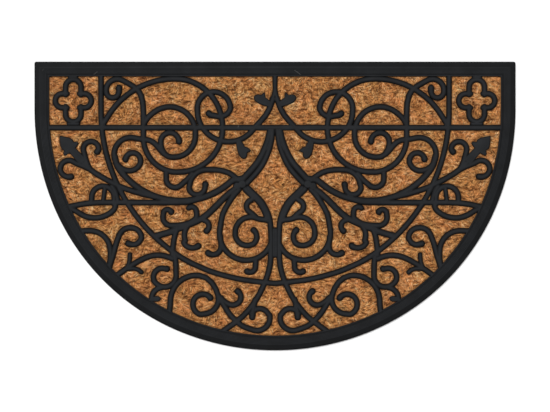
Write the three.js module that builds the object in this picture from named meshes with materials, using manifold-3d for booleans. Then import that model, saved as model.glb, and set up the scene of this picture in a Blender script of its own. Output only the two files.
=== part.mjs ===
// Half-round coir doormat: a rubber moulding with an openwork grille of scrolls, and a coir panel inside it.
// Millimetres, +Z up. The mat lies flat on Z = 0 with its straight edge towards +Y and its round edge
// towards -Y, and the origin is under the middle of its bounding box.

import * as THREE from "three";
import { mergeVertices } from "three/addons/utils/BufferGeometryUtils.js";
import Module from "manifold-3d";

// Overall sizes.
const WIDTH = 750;
const DEPTH = 450;
const THICKNESS = 9;

// Levels of the layers, from the floor up: rubber backing, coir, rubber grille.
const BACKING = 2;
const GRILLE = 2.5;
const CLEARANCE = 0.3;

// The rim: a flat frame with a ramp down to a low outer edge. Its round edge is a half circle that is a
// little fuller halfway round to each side.
const FULLNESS = 2.5;
const RIM = 23;
const RAMP_WIDTH = 9;
const RAMP_FALL = 5;
const OUTER_CORNER = 3;
const POCKET_CORNER = 3;
const RIM_OVERLAP = 1;

// The grille: thick straight bars and thinner curled strips, whose free ends swell a little.
const BAR = 9;
const STRIP = 9.2;
const BROAD = 10.5;
const THIN = 7.5;
const CURL_END = 10.6;

// How finely curves are faceted.
const HALF_ROUND_STEPS = 60;
const CORNER_STEPS = 4;
const CHORD_ERROR = 0.5;
const CAP_STEPS = 3;
const DISC_STEPS = 12;

// Vertices closer than this are one, and a cut runs this far past the face that it opens.
const MERGE_DISTANCE = 1e-4;
const CUT_PAST = 1;

const DEGREE = Math.PI / 180;
const ROUND_CENTRE = WIDTH / 2 - DEPTH / 2;
const GRILLE_BOTTOM = THICKNESS - GRILLE;

const wasm = await Module();
wasm.setup();

// A closed mesh as a solid that can be joined and cut, with its doubled vertices merged.
function toSolid(geometry) {
  const bare = geometry.clone();
  bare.deleteAttribute("normal");
  bare.deleteAttribute("uv");
  const merged = mergeVertices(bare, MERGE_DISTANCE);
  return new wasm.Manifold(new wasm.Mesh({
    numProp: 3,
    vertProperties: new Float32Array(merged.attributes.position.array),
    triVerts: new Uint32Array(merged.index.array),
  }));
}

function toGeometry(solid) {
  const mesh = solid.getMesh();
  const geometry = new THREE.BufferGeometry();
  geometry.setAttribute("position", new THREE.BufferAttribute(mesh.vertProperties, 3));
  geometry.setIndex(new THREE.BufferAttribute(mesh.triVerts, 1));
  geometry.computeVertexNormals();
  return geometry;
}

function prism(outline, bottom, top) {
  const shape = new THREE.Shape(outline);
  const geometry = new THREE.ExtrudeGeometry(shape, { depth: top - bottom, bevelEnabled: false });
  geometry.translate(0, 0, bottom);
  return toSolid(geometry);
}

// Points along an arc, or along a volute whose radius runs evenly from one value to another.
function arcPoints({ eyeX, eyeY, fromRadius, toRadius, fromAngle, toAngle }, steps) {
  return Array.from({ length: steps + 1 }, (_, i) => {
    const share = i / steps;
    const angle = THREE.MathUtils.lerp(fromAngle, toAngle, share) * DEGREE;
    const radius = THREE.MathUtils.lerp(fromRadius, toRadius, share);
    return new THREE.Vector2(eyeX + radius * Math.cos(angle), eyeY + radius * Math.sin(angle));
  });
}

function roundArc(eyeX, eyeY, radius, fromAngle, toAngle, steps) {
  return arcPoints({ eyeX, eyeY, fromRadius: radius, toRadius: radius, fromAngle, toAngle }, steps);
}

// A half circle from one side round to the other, pushed out by FULLNESS at 45 degrees.
function roundEdge(reach) {
  return Array.from({ length: HALF_ROUND_STEPS + 1 }, (_, i) => {
    const angle = (180 + 180 * i / HALF_ROUND_STEPS) * DEGREE;
    const radius = reach + FULLNESS * Math.sin(2 * angle) ** 2;
    return new THREE.Vector2(radius * Math.cos(angle), ROUND_CENTRE + radius * Math.sin(angle));
  });
}

// The mat's outline, drawn in by an inset, with its two corners rounded.
function halfMoon(inset, corner) {
  const reach = WIDTH / 2 - inset;
  const top = DEPTH / 2 - inset;
  const corners = corner === 0
    ? [new THREE.Vector2(reach, top), new THREE.Vector2(-reach, top)]
    : [
      ...roundArc(reach - corner, top - corner, corner, 0, 90, CORNER_STEPS),
      ...roundArc(corner - reach, top - corner, corner, 90, 180, CORNER_STEPS),
    ];
  return [...corners, ...roundEdge(reach)];
}

// A strip's path is a row of legs. A spot is a point that the strip passes at a heading in degrees,
// and a turn is an arc or volute about an eye. Smooth curves join the legs.
const spot = (x, y, heading) => ({ x, y, heading });
const turn = (eyeX, eyeY, fromRadius, toRadius, fromAngle, toAngle) =>
  ({ eyeX, eyeY, fromRadius, toRadius, fromAngle, toAngle });

// The scrollwork of the right half, in millimetres and degrees; the left half is its mirror image.
const STRIPS = [
  // The straight bar, and the bar that runs down from the rim and round as an arch.
  { name: "top_bar", width: BAR, legs: [spot(-1, 122, 0), spot(355, 122, 0)] },
  { name: "arch", width: BAR, legs: [
    spot(271, 206, -90), turn(0, 147, 271, 270, 0, -57), spot(111, -97.5, -156), spot(74, -109.5, -165),
    spot(20, -118.5, -174), spot(-2, -120.5, -178)] },
  // The stem from the middle of the straight edge, with its low sweep, loop and hook.
  { name: "stem_top", width: THIN, legs: [spot(-0.5, 206, -90), spot(0, 184, -87), spot(6, 160, -70)] },
  { name: "stem", curl: true, legs: [
    spot(3, 168, -74), spot(9.5, 150, -66), turn(72, 148.5, 48, 49, 218, 350),
    turn(95.5, 152, 25.5, 26, -5, 178), turn(91, 154, 21, 14, 195, 270), spot(103, 144, 55)] },
  // The great ring: from the side bar over the top and round, then up into the corner scroll.
  { name: "great_ring", legs: [
    spot(271, 122, 118), turn(155, 78, 122, 120, 30, 94), turn(150, 120.5, 75, 69.5, 112, 158),
    turn(150, 120.5, 68.5, 67.5, 176, 262)] },
  { name: "ring_side", legs: [
    turn(150, 120.5, 67.5, 67.5, 258, 268), turn(151, 106, 53.5, 54, -78, 0), spot(205, 145, 89),
    spot(211, 177, 64)] },
  { name: "corner_scroll", curl: true, legs: [
    spot(208, 171, 70), turn(246, 180, 18, 17, 120, 0), turn(252.5, 178.5, 10.5, 9.5, -15, -150),
    spot(243, 184, 85)] },
  // The inner ring, which swings back into the side curl.
  { name: "inner_ring", legs: [
    spot(204.5, 127, 112), turn(165, 115, 39, 41, 58, 180), turn(157.5, 110, 33.5, 34, 185, 285)] },
  { name: "side_curl", curl: true, legs: [
    spot(166, 77.5, 18), spot(189, 99, 38), turn(224, 81, 25.5, 27, 105, -20), spot(229, 55, 188),
    turn(222, 71, 13, 11, -150, -350)] },
  { name: "inner_ring_hook", curl: true, legs: [spot(172, 82, 50), turn(163.5, 100, 14.5, 14, 0, 178)] },
  // The sweep under the great ring, and the long low bar that runs out to the rim.
  { name: "low_sweep", width: BROAD, legs: [
    spot(50, 43, -18), turn(147, 125, 117, 117, 228, 325), spot(250, 78, 78)] },
  { name: "low_bar", legs: [
    spot(118, 11, -12), spot(140, 6, -2), spot(225, 5.5, 0), spot(283, 5, -3), spot(328, -3, -14)] },
  { name: "lens_below", legs: [spot(247.5, 6, -75), turn(281, 23.5, 42, 42, 226, 305), spot(322, -2, 22)] },
  { name: "hump", legs: [spot(250.5, 3, 90), turn(268, 13.5, 17.5, 17.5, 176, 4), spot(285.7, 5, -92)] },
  { name: "hump_root", legs: [spot(245, 6, 92), spot(247, 16, 78), spot(254, 30, 45)] },
  { name: "hump_spur", width: THIN, legs: [spot(268, 5, 97), spot(265, 28, 97)] },
  // What ties the four-lobed figure to the rim and to the straight bar.
  { name: "lobe_head", width: THIN, legs: [spot(310, 200.5, 0), spot(319, 200.5, 0)] },
  { name: "lobe_foot", width: THIN, legs: [spot(307, 128, 0), spot(321, 128, 0)] },
  // The outer branch, its scroll on either side, and the leaf between them.
  { name: "branch", legs: [spot(180, 13, 10), spot(230, 26, 18), spot(268, 44, 28), spot(303, 71, 45)] },
  { name: "branch_inner_scroll", curl: true, legs: [
    spot(287, 56, 52), turn(286.5, 88.5, 12, 12, -15, 180), spot(277, 84.5, -70)] },
  { name: "branch_outer_scroll", curl: true, legs: [
    spot(290, 58, 35), turn(320, 58.5, 12, 14.5, 118, 0), turn(320, 58.5, 14.5, 13, -5, -100)] },
  // The thick stem from the bar to the knot, of two strips, and the scroll that leaves the knot.
  { name: "thick_stem_inner", legs: [
    spot(4, 118, -85), spot(10, 86, -69), spot(23.5, 58.6, -54), spot(43.8, 35.7, -47)] },
  { name: "thick_stem_outer", width: BROAD, legs: [
    spot(7.5, 118, -80), spot(16.8, 87.3, -66), spot(31, 63.2, -50), spot(51, 41, -47)] },
  { name: "knot_scroll", curl: true, legs: [
    spot(56, 40, 38), spot(80, 54.5, 14), turn(107, 30, 26.5, 26, 90, 8),
    turn(121.5, 30, 12.5, 12.5, -8, -178), spot(108.5, 33.5, 88)] },
  { name: "ring_pendant", legs: [
    spot(129, 50, -55), turn(156.5, 43, 14.5, 13, 225, 358), spot(169.5, 52, 90)] },
  // The heart below the knot: its outer side, its inner strand and their curls.
  { name: "heart_outer", legs: [
    spot(56, 26, -45), spot(77.5, -4, -60), turn(44, -43, 42.5, 41, 10, -140), spot(6, -58, 120)] },
  { name: "heart_strand", legs: [
    spot(42, 28, -130), spot(19, 4, -122), spot(7, -30, -94), spot(6.8, -82, -87), spot(18, -124, -66),
    spot(42, -163, -50), spot(80, -194, -35)] },
  { name: "heart_shoulder", width: BROAD, legs: [
    spot(46, 26, -132), spot(22, 3, -122), spot(11, -22, -105)] },
  { name: "strand_web", width: THIN, legs: [spot(1.5, -37, -90), spot(1.5, -77, -90)] },
  { name: "heart_eye", legs: [spot(28, 14, 5), turn(34.5, -0.5, 10, 10, 62, -58), spot(29, -18, -140)] },
  { name: "heart_spiral", curl: true, legs: [
    spot(9, -24, 40), turn(38, -41, 24, 24, 115, 0), turn(42, -43, 20, 18, -15, -110),
    turn(43, -46, 16, 13, -130, -220)] },
  { name: "heart_side_hook", curl: true, legs: [spot(85, -48, -90), turn(96, -63, 12, 13, 195, 308)] },
  { name: "heart_low_hook", curl: true, legs: [spot(30, -83, -92), turn(39, -94.5, 8.5, 8.5, 182, 300)] },
  // The diagonal from the knot to the arch, and the two scrolls that spring from it.
  { name: "diagonal", width: BROAD, legs: [
    spot(55, 32, -38), spot(85, 7, -46), spot(112, -18, -35), spot(150, -35, -25), spot(187, -47, -15)] },
  { name: "upper_scroll", curl: true, legs: [
    spot(122, -18, -45), spot(138, -28, -15), turn(161.5, -17, 13.5, 13, -90, 15),
    turn(167, -12, 7, 6, 25, 150)] },
  { name: "upper_scroll_back", legs: [spot(123, -20, 108), turn(130, -8.5, 7.5, 7, 172, 52)] },
  { name: "lower_scroll", curl: true, legs: [
    spot(110, -21, 10), turn(119, -46, 23, 22, 75, -20), turn(130, -50, 14, 16, -30, -130)] },
  { name: "lower_scroll_back", curl: true, legs: [
    spot(117, -20, 185), turn(112, -31.5, 9.5, 9, 110, 232)] },
  { name: "arch_tie", legs: [spot(150, -33, -50), spot(157, -50, -78), spot(160, -76, -85)] },
  // Outside the arch: the thorned branch, the curl under it and the scroll by the rim.
  { name: "thorn_branch", legs: [
    spot(160, -82, 25), spot(184, -76.5, -2), spot(212, -85.5, -28), spot(252, -112, -35)] },
  { name: "thorn_up", width: THIN, legs: [spot(231, -97, 118), spot(226.5, -84, 95), spot(226, -75.5, 90)] },
  { name: "thorn_down", width: THIN, legs: [
    spot(234, -98.5, 172), spot(218, -97.5, 190), spot(208, -103, 222)] },
  { name: "low_curl", curl: true, legs: [
    spot(157, -76, -110), turn(172, -108.5, 18, 17.5, 175, 305), turn(175.5, -110.5, 14, 13.5, -30, 108),
    spot(168.5, -98, 188)] },
  { name: "low_curl_foot", legs: [spot(177, -127, -8), spot(186, -131, -38), spot(192, -145, -92)] },
  { name: "edge_scroll", curl: true, legs: [
    spot(260, -103, 103), spot(250.5, -70, 103), turn(223, -50, 20, 16, 15, 90),
    turn(223, -50, 16, 14.8, 95, 180), turn(221, -48.5, 12, 11.5, 205, 275), spot(228.5, -58.5, 20)] },
  { name: "edge_bow", legs: [
    spot(259, -98, 100), turn(288, -70, 31.5, 31.5, 170, 95), spot(310, -40, -5)] },
  // The foot: the large spiral, and the scroll with its hook that crosses the long strand.
  { name: "large_spiral", curl: true, legs: [
    spot(165, -172, 92), turn(122, -148, 41, 40, 0, 97), turn(111.5, -145, 23.5, 23, 165, 265),
    turn(111.5, -152, 17.5, 14, -65, 140)] },
  { name: "foot_scroll", curl: true, legs: [
    spot(87, -141, -108), spot(78, -157, -118), spot(55, -184, -140), turn(28, -174, 20, 20, -70, -190),
    turn(25, -174, 15.5, 13, -205, -330)] },
  { name: "foot_spur", curl: true, legs: [spot(31, -146, -78), spot(35.5, -173, -84)] },
  { name: "foot_hook", curl: true, legs: [spot(84, -143, -120), turn(64.5, -140.5, 14.5, 10, -55, -230)] },
];

// The four-lobed figure in the corner, as a row for each lobe: how far out the eye of its half circle
// lies, the radius, and how far its two sides run back to the middle.
const QUATREFOIL = { x: 314.2, y: 164 };
const LOBES = [
  { direction: 0, offset: 17, radius: 11, side: 7 },
  { direction: 90, offset: 21.2, radius: 12, side: 11.7 },
  { direction: 180, offset: 17, radius: 11, side: 7 },
  { direction: 270, offset: 21, radius: 12, side: 11.5 },
];

// Leaves, each from its root at a heading, and the round knots where strips meet.
const LEAVES = [
  { name: "stem_bud_out", edge: "blunt", x: 8.5, y: 158.5, heading: 27, length: 27, width: 14 },
  { name: "stem_bud_up", edge: "pointed", x: 21, y: 163, heading: 108, length: 15, width: 9 },
  { name: "sweep_bud_down", edge: "blunt", x: 56.5, y: 100, heading: 250, length: 28, width: 14 },
  { name: "sweep_bud_out", edge: "pointed", x: 50, y: 88, heading: 190, length: 13, width: 10 },
  { name: "branch_leaf", edge: "barbed", x: 303, y: 73, heading: 48, length: 48, width: 30 },
  { name: "foot_thorn", edge: "blunt", x: 194, y: -145, heading: 177, length: 16, width: 9 },
];
const KNOTS = [
  { name: "stem_knot", x: 51, y: 34, radius: 7 },
  { name: "side_knot", x: 59, y: 31, radius: 6.5 },
];

const headingOf = (angle) => new THREE.Vector2(Math.cos(angle * DEGREE), Math.sin(angle * DEGREE));

function turnSteps(radius, degrees) {
  const reach = radius + STRIP / 2;
  const step = 2 * Math.acos(1 - CHORD_ERROR / reach) / DEGREE;
  return Math.max(1, Math.ceil(Math.abs(degrees) / step));
}

// A leg as points with headings: one point for a spot, and a row of them for a turn.
function legPoints(leg) {
  if (!("eyeX" in leg)) {
    return [{ point: new THREE.Vector2(leg.x, leg.y), heading: headingOf(leg.heading) }];
  }
  const sweep = leg.toAngle - leg.fromAngle;
  const steps = turnSteps(Math.max(leg.fromRadius, leg.toRadius), sweep);
  const growth = (leg.toRadius - leg.fromRadius) / (sweep * DEGREE);
  return arcPoints(leg, steps).map((point, i) => {
    const angle = leg.fromAngle + sweep * i / steps;
    const radius = THREE.MathUtils.lerp(leg.fromRadius, leg.toRadius, i / steps);
    const outward = headingOf(angle).multiplyScalar(growth);
    const along = headingOf(angle + 90).multiplyScalar(radius).add(outward).multiplyScalar(Math.sign(sweep));
    return { point, heading: along.normalize() };
  });
}

// The curve between two legs: a cubic that leaves and arrives at their headings, with its handles as
// long as this share of the gap.
const JOIN_PULL = 0.36;

function joinPoints(from, to) {
  const gap = to.point.clone().sub(from.point);
  const pull = gap.length() * JOIN_PULL;
  const leaving = from.point.clone().addScaledVector(from.heading, pull);
  const arriving = to.point.clone().addScaledVector(to.heading, -pull);
  const curve = new THREE.CubicBezierCurve(from.point, leaving, arriving, to.point);
  const bend = from.heading.angleTo(gap) + gap.angleTo(to.heading);
  const steps = bend < DEGREE ? 1 : turnSteps(gap.length() / bend, bend / DEGREE);
  return Array.from({ length: steps - 1 }, (_, i) => {
    const share = (i + 1) / steps;
    return { point: curve.getPoint(share), heading: curve.getTangent(share) };
  });
}

function pathPoints(legs) {
  return legs.flatMap((leg, i) => {
    const points = legPoints(leg);
    return i === 0 ? points : [...joinPoints(legPoints(legs[i - 1]).at(-1), points[0]), ...points];
  });
}

// The outline of a strip along its path, with round ends. A curl's free end is a little thicker.
function stripOutline({ legs, width = STRIP, curl = false }) {
  const path = pathPoints(legs);
  const endWidth = curl ? CURL_END : width;
  const side = (sign) => path.map(({ point, heading }, i) => {
    const half = sign * (i === path.length - 1 ? endWidth : width) / 2;
    return new THREE.Vector2(point.x - heading.y * half, point.y + heading.x * half);
  });
  const cap = ({ point, heading }, across, start) => {
    const angle = Math.atan2(heading.y, heading.x) / DEGREE + start;
    return roundArc(point.x, point.y, across / 2, angle, angle - 180, CAP_STEPS).slice(1, -1);
  };
  return [...side(1), ...cap(path.at(-1), endWidth, 90), ...side(-1).reverse(), ...cap(path[0], width, -90)];
}

// How a leaf's edge runs out to its tip, as shares of its length and of its width.
const LEAF_EDGES = {
  pointed: [
    { along: -0.1, across: 0.3 }, { along: 0.3, across: 0.5 }, { along: 0.6, across: 0.42 },
    { along: 1, across: 0.08 },
  ],
  blunt: [
    { along: -0.1, across: 0.3 }, { along: 0.3, across: 0.45 }, { along: 0.65, across: 0.5 },
    { along: 0.9, across: 0.35 }, { along: 1, across: 0.12 },
  ],
  barbed: [
    { along: -0.15, across: 0.24 }, { along: 0.37, across: 0.2 }, { along: 0.42, across: 0.5 },
    { along: 0.5, across: 0.49 }, { along: 0.56, across: 0.34 }, { along: 0.64, across: 0.38 },
    { along: 0.88, across: 0.18 }, { along: 1, across: 0.02 },
  ],
};

function leafOutline({ edge, x, y, heading, length, width }) {
  const side = (sign) => LEAF_EDGES[edge].map(({ along, across }) => new THREE.Vector2(x, y)
    .addScaledVector(headingOf(heading), along * length)
    .addScaledVector(headingOf(heading + 90), sign * across * width));
  return [...side(-1), ...side(1).reverse()];
}

function discOutline({ x, y, radius }) {
  return roundArc(x, y, radius, 0, 360, DISC_STEPS).slice(0, -1);
}

function lobeOutline({ direction, offset, radius, side }) {
  const outward = headingOf(direction);
  const eye = new THREE.Vector2(QUATREFOIL.x, QUATREFOIL.y).addScaledVector(outward, offset);
  const foot = (turned) => eye.clone()
    .addScaledVector(outward, -side)
    .addScaledVector(headingOf(direction + turned), radius);
  return stripOutline({ legs: [
    spot(foot(90).x, foot(90).y, direction),
    turn(eye.x, eye.y, radius, radius, direction + 89, direction - 89),
    spot(foot(-90).x, foot(-90).y, direction + 180),
  ] });
}

const mirrored = (outline) => outline.map(({ x, y }) => new THREE.Vector2(-x, y)).reverse();

function makeGrille() {
  const half = [
    ...STRIPS.map(stripOutline),
    ...LOBES.map(lobeOutline),
    ...LEAVES.map(leafOutline),
    ...KNOTS.map(discOutline),
  ];
  const whole = [...half, ...half.map(mirrored)];
  const strips = whole.map((outline) => prism(outline, GRILLE_BOTTOM, THICKNESS));
  const panel = prism(halfMoon(RIM - RIM_OVERLAP, POCKET_CORNER), GRILLE_BOTTOM, THICKNESS);
  return wasm.Manifold.union(strips).intersect(panel);
}

// The rim's ramp is the chamfer of an extrusion, and the same extrusion's lower half is cut away.
function makeTray() {
  const ramped = new THREE.ExtrudeGeometry(new THREE.Shape(halfMoon(0, 0)), {
    depth: 2 * (THICKNESS - RAMP_FALL),
    bevelThickness: RAMP_FALL,
    bevelSize: RAMP_WIDTH,
    bevelOffset: -RAMP_WIDTH,
    bevelSegments: 1,
  });
  ramped.translate(0, 0, RAMP_FALL - THICKNESS);
  return toSolid(ramped)
    .intersect(prism(halfMoon(0, OUTER_CORNER), 0, THICKNESS))
    .subtract(prism(halfMoon(RIM, POCKET_CORNER), BACKING, THICKNESS + CUT_PAST));
}

function named(name, solid, material) {
  const mesh = new THREE.Mesh(toGeometry(solid), new THREE.MeshStandardMaterial(material));
  mesh.name = name;
  return mesh;
}

const RUBBER = { color: 0x2b2b2d, roughness: 0.75, metalness: 0 };
const COIR = { color: 0xb98255, roughness: 0.95, metalness: 0 };

const doormat = new THREE.Group();
doormat.add(named("rubber_moulding", makeTray().add(makeGrille()), RUBBER));
doormat.add(named("coir_panel",
  prism(halfMoon(RIM + CLEARANCE, POCKET_CORNER), BACKING + CLEARANCE, GRILLE_BOTTOM - CLEARANCE), COIR));

export default doormat;
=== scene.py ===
# %% [markdown]
# A half-round doormat: a black rubber moulding with an openwork of scrolls, filled with tan coconut fibre.
# This lesson dresses the two plain solids of the mat for a close look. The rubber gets round strips and a
# grooved rim, and the coir gets a lumpy panel with tens of thousands of separate fibres. Every finish is a
# node material that runs on Object coordinates, or on an attribute that the fibres carry.

import math

import bpy
import numpy as np
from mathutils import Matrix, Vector, geometry, kdtree


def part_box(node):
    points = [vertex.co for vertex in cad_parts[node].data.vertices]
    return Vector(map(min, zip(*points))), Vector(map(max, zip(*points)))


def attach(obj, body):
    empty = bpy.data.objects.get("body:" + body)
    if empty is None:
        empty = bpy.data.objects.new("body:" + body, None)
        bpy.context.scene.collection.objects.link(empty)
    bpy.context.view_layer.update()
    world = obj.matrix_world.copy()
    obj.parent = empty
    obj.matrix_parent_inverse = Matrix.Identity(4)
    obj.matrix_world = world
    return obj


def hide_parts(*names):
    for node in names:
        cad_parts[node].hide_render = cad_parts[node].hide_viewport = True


MM = 0.001

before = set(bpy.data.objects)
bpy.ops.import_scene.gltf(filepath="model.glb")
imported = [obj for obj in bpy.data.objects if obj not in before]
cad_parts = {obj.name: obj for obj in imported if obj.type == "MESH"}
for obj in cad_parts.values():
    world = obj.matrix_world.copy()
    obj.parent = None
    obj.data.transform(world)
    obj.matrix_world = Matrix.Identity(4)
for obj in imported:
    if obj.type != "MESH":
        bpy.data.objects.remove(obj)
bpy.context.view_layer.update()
bpy.ops.object.select_all(action="DESELECT")

# %% [markdown]
# All sizes below are in millimetres and come from the plain solids, so that a piece lands where its solid
# is. The outline is a half circle with short straight sides: its centre lies on the middle line, and the
# radius is half the mat's width. Halfway round to each side it is a little fuller than a true circle.

# %% Sizes of the mat
rubber_low, rubber_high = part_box("rubber_moulding")
coir_low, coir_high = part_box("coir_panel")

RADIUS = rubber_high.x / MM
STRAIGHT_EDGE = rubber_high.y / MM
TOP = rubber_high.z / MM
ROUND_CENTRE = rubber_low.y / MM + RADIUS
CLEARANCE = 0.3
RIM = (rubber_high.x - coir_high.x) / MM - CLEARANCE
BACKING = coir_low.z / MM - CLEARANCE
COIR_BOTTOM = coir_low.z / MM
OUTER_CORNER = 3
FULLNESS = 2.5
print("radius", round(RADIUS, 1), "rim", round(RIM, 1), "backing", round(BACKING, 1), "top", round(TOP, 1))


# %% [markdown]
# Work by hand in Blender is mostly the same few moves: add a primitive, go into edit mode, pick faces or
# edges, push them about, and come out again. These helpers do the picking in code, by place or direction,
# because an operator acts on everything that is selected.

# %% Helpers for picking and for edit mode
def activate(obj):
    bpy.ops.object.select_all(action="DESELECT")
    obj.select_set(True)
    bpy.context.view_layer.objects.active = obj


def pick(obj, elements, test):
    """Goes into edit mode with just those corners or faces selected that pass the test."""
    activate(obj)
    bpy.ops.object.mode_set(mode="EDIT")
    bpy.ops.mesh.select_mode(type=elements)
    bpy.ops.mesh.select_all(action="DESELECT")
    bpy.ops.object.mode_set(mode="OBJECT")
    for item in {"VERT": obj.data.vertices, "FACE": obj.data.polygons}[elements]:
        item.select = test(item)
    bpy.ops.object.mode_set(mode="EDIT")


def leave_edit():
    bpy.ops.object.mode_set(mode="OBJECT")


def apply_boolean(obj, other, operation):
    """Joins, cuts or meets obj with the closed mesh of another object, which is then removed."""
    activate(obj)
    modifier = obj.modifiers.new("join", "BOOLEAN")
    modifier.object = other
    modifier.operation = operation
    modifier.solver = "MANIFOLD"
    bpy.ops.object.modifier_apply(modifier=modifier.name)
    bpy.data.objects.remove(other)


def triangles(obj):
    obj.data.calc_loop_triangles()
    return len(obj.data.loop_triangles)


# %% [markdown]
# The outline of the moulding starts as a circle. The half of it above the circle's centre is deleted, and
# the rest is pushed out where it is fuller. The two loose ends are extruded straight up to the mat's
# straight edge, and the ring is filled with one face. The same steps at a smaller radius give the pocket
# and the coir panel.

# %% The half-round outline as a slab
OUTLINE_VERTICES = 360
CORNER_SEGMENTS = 6
NEAR = 0.01
BEYOND = 1


def radius_at(x, y, reach):
    """The round edge's distance from its centre, in the direction of a point below that centre."""
    return reach + FULLNESS * math.sin(2 * math.atan2(y - ROUND_CENTRE, x)) ** 2


def half_round_slab(name, inset, bottom, top, corner=0):
    """The outline made into a closed slab, with its two sharp corners rounded to a radius."""
    reach, edge = RADIUS - inset, STRAIGHT_EDGE - inset
    bpy.ops.mesh.primitive_circle_add(vertices=OUTLINE_VERTICES, radius=reach * MM,
                                      location=(0, ROUND_CENTRE * MM, bottom * MM))
    slab = bpy.context.object
    slab.name = name
    bpy.ops.object.transform_apply(location=True, rotation=True, scale=True)
    pick(slab, "VERT", lambda v: v.co.y > (ROUND_CENTRE + NEAR) * MM)
    bpy.ops.mesh.delete(type="VERT")
    leave_edit()
    for vertex in slab.data.vertices:
        x, y = vertex.co.x / MM, vertex.co.y / MM
        share = radius_at(x, y, reach) / reach
        vertex.co.x = x * share * MM
        vertex.co.y = (ROUND_CENTRE + (y - ROUND_CENTRE) * share) * MM
    pick(slab, "VERT", lambda v: abs(v.co.y - ROUND_CENTRE * MM) < NEAR * MM)
    bpy.ops.mesh.extrude_region_move(TRANSFORM_OT_translate={"value": (0, (edge - ROUND_CENTRE) * MM, 0)})
    bpy.ops.mesh.select_all(action="SELECT")
    bpy.ops.mesh.edge_face_add()
    leave_edit()
    if corner:
        pick(slab, "VERT", lambda v: v.co.y > (edge - NEAR) * MM)
        bpy.ops.mesh.bevel(offset=corner * MM, segments=CORNER_SEGMENTS, affect="VERTICES")
        leave_edit()
    pick(slab, "FACE", lambda f: True)
    bpy.ops.mesh.extrude_region_move(TRANSFORM_OT_translate={"value": (0, 0, (top - bottom) * MM)})
    bpy.ops.mesh.select_all(action="SELECT")
    bpy.ops.mesh.normals_make_consistent(inside=False)
    leave_edit()
    return slab


print("the outline reaches", round(radius_at(1, ROUND_CENTRE - 1, RADIUS), 1), "mm at the diagonals")


# %% [markdown]
# The rim of a moulded mat is not a plain flat band. A low wall stands at the outer edge, a ramp leads up
# from it so that no one trips, and fine ribs run round the flat of the rim in step with the edge. A groove
# and a thin bead finish it on the inside. One inset of the top face makes each step: its thickness is the
# step inwards, and its depth the step up or down.

# %% The rim and the backing
EDGE_WALL = 3.6
RAMP = [(0.4, 0.4), (8.0, 4.5), (0.8, 0.3)]
RIB = [(1.15, 0), (0.25, -0.35), (0.3, 0), (0.25, 0.35)]
RIB_COUNT = 5
BEAD = [(0.7, 0), (0.45, -0.9), (0.7, 0), (0.5, 0.95), (0.35, 0.15), (0.7, 0), (0.35, -0.2)]
POCKET_CORNER = 3
LEVEL = 0.99
FEWEST_CORNERS = OUTLINE_VERTICES / 3

tray = half_round_slab("rubber_moulding_fine", 0, 0, EDGE_WALL)
grooves_end = 0
for inwards, up in RAMP + RIB * RIB_COUNT + BEAD:
    pick(tray, "FACE", lambda f: f.normal.z > LEVEL and len(f.vertices) > FEWEST_CORNERS)
    bpy.ops.mesh.inset(thickness=inwards * MM, depth=up * MM, use_even_offset=True)
    leave_edit()
    grooves_end += inwards
rim_top = max(v.co.z for v in tray.data.vertices) / MM
print("the bead ends", round(grooves_end, 2), "mm in, and the rim is", round(rim_top, 2), "mm high")

apply_boolean(tray, half_round_slab("rounded_outline", 0, -BEYOND, TOP + BEYOND, OUTER_CORNER), "INTERSECT")
apply_boolean(tray, half_round_slab("pocket", RIM, BACKING, TOP + BEYOND, POCKET_CORNER), "DIFFERENCE")
print("tray", triangles(tray), "triangles")


# %% [markdown]
# The scrollwork is a set of curved strips, as in wrought iron. Each strip is written as a row of legs. A
# spot is a point that the strip passes at a heading, and a turn is an arc or a volute about an eye. A
# volute's radius runs evenly from one value to another, which is how a smith's scroll tightens. The rows
# are the right half of the mat, in millimetres and degrees.

# %% The strips of the right half
def spot(x, y, heading):
    return {"x": x, "y": y, "heading": heading}


def turn(eye_x, eye_y, from_radius, to_radius, from_angle, to_angle):
    return {"eye": (eye_x, eye_y), "radii": (from_radius, to_radius), "angles": (from_angle, to_angle)}


STRIP = 9.2
BAR = 9
BROAD = 10.5
THIN = 7.5


def strip(name, legs, width=STRIP, curl=False):
    """One strip: its legs, its width, and whether its free end swells as a curl's does."""
    return {"name": name, "legs": legs, "width": width, "curl": curl}


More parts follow.
